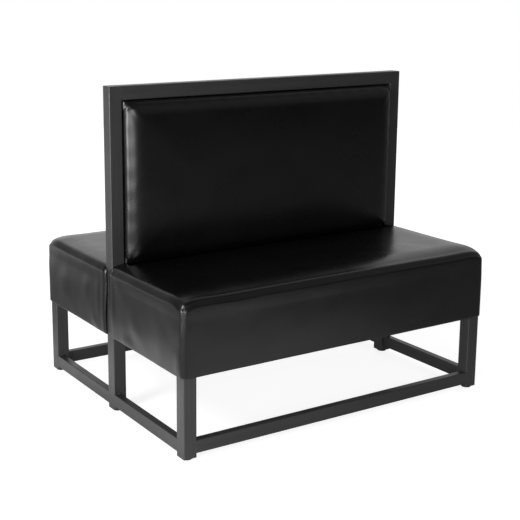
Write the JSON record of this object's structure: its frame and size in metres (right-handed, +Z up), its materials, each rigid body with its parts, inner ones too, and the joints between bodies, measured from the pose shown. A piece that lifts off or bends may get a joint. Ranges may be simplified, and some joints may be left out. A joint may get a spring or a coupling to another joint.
{
  "type": "double-sided restaurant booth seat",
  "caption": "Double-sided restaurant booth: two black vinyl seats back to back on a black square-tube steel frame with a padded back panel between its posts.",
  "frame": {"origin": "on the floor, below the middle of the booth", "axes": "+X along the seats, +Y from the front seat to the rear seat, +Z up"},
  "size_m": [1.203, 0.971, 1.073],
  "materials": {
    "black_powder_coat": "satin black powder coat on steel tube",
    "black_vinyl": "semi-gloss black upholstery vinyl with a fine grain",
    "foam": "open-cell upholstery foam, pale yellow",
    "plywood": "plain birch plywood",
    "dust_cover_cloth": "matt black non-woven cloth",
    "black_nylon": "matt black nylon",
    "zinc_steel": "bright zinc-plated steel"
  },
  "bodies": {
    "booth": {"top_rail": "black_powder_coat", "post_caps": "black_powder_coat", "seat_centre_rail": "black_powder_coat", "back_tabs": "black_powder_coat", "centre_post_left": "black_powder_coat", "centre_post_right": "black_powder_coat", "bottom_rail_front": "black_powder_coat", "seat_rail_front": "black_powder_coat", "leg_front_left": "black_powder_coat", "bottom_end_rail_front_left": "black_powder_coat", "seat_end_rail_front_left": "black_powder_coat", "leg_front_right": "black_powder_coat", "bottom_end_rail_front_right": "black_powder_coat", "seat_end_rail_front_right": "black_powder_coat", "front_seat_deck": "plywood", "front_seat_front_board": "plywood", "front_seat_end_boards": "plywood", "front_panel_backing": "plywood", "front_seat_pad": "foam", "front_seat_side_foam": "foam", "front_panel_pad": "foam", "front_seat_cover": "black_vinyl", "front_panel_cover": "black_vinyl", "front_seat_dust_cover": "dust_cover_cloth", "bottom_rail_rear": "black_powder_coat", "seat_rail_rear": "black_powder_coat", "leg_rear_left": "black_powder_coat", "bottom_end_rail_rear_left": "black_powder_coat", "seat_end_rail_rear_left": "black_powder_coat", "leg_rear_right": "black_powder_coat", "bottom_end_rail_rear_right": "black_powder_coat", "seat_end_rail_rear_right": "black_powder_coat", "rear_seat_deck": "plywood", "rear_seat_front_board": "plywood", "rear_seat_end_boards": "plywood", "rear_panel_backing": "plywood", "rear_seat_pad": "foam", "rear_seat_side_foam": "foam", "rear_panel_pad": "foam", "rear_seat_cover": "black_vinyl", "rear_panel_cover": "black_vinyl", "rear_seat_dust_cover": "dust_cover_cloth", "back_core_board": "plywood", "tube_end_plugs": "black_nylon", "panel_clips": "black_nylon", "deck_screws": "zinc_steel", "tab_screws": "zinc_steel"},
    "glide_front_left": {"glide_foot_front_left": "black_nylon", "glide_stem_front_left": "zinc_steel"},
    "glide_front_right": {"glide_foot_front_right": "black_nylon", "glide_stem_front_right": "zinc_steel"},
    "glide_centre_left": {"glide_foot_centre_left": "black_nylon", "glide_stem_centre_left": "zinc_steel"},
    "glide_centre_right": {"glide_foot_centre_right": "black_nylon", "glide_stem_centre_right": "zinc_steel"},
    "glide_rear_left": {"glide_foot_rear_left": "black_nylon", "glide_stem_rear_left": "zinc_steel"},
    "glide_rear_right": {"glide_foot_rear_right": "black_nylon", "glide_stem_rear_right": "zinc_steel"}
  },
  "joints": [
    {"name": "level_front_left", "type": "slide", "parent": "booth", "child": "glide_front_left", "axis": [0, 0, -1], "range_m": [0, 0.012]},
    {"name": "level_front_right", "type": "slide", "parent": "booth", "child": "glide_front_right", "axis": [0, 0, -1], "range_m": [0, 0.012]},
    {"name": "level_centre_left", "type": "slide", "parent": "booth", "child": "glide_centre_left", "axis": [0, 0, -1], "range_m": [0, 0.012]},
    {"name": "level_centre_right", "type": "slide", "parent": "booth", "child": "glide_centre_right", "axis": [0, 0, -1], "range_m": [0, 0.012]},
    {"name": "level_rear_left", "type": "slide", "parent": "booth", "child": "glide_rear_left", "axis": [0, 0, -1], "range_m": [0, 0.012]},
    {"name": "level_rear_right", "type": "slide", "parent": "booth", "child": "glide_rear_right", "axis": [0, 0, -1], "range_m": [0, 0.012]}
  ]
}
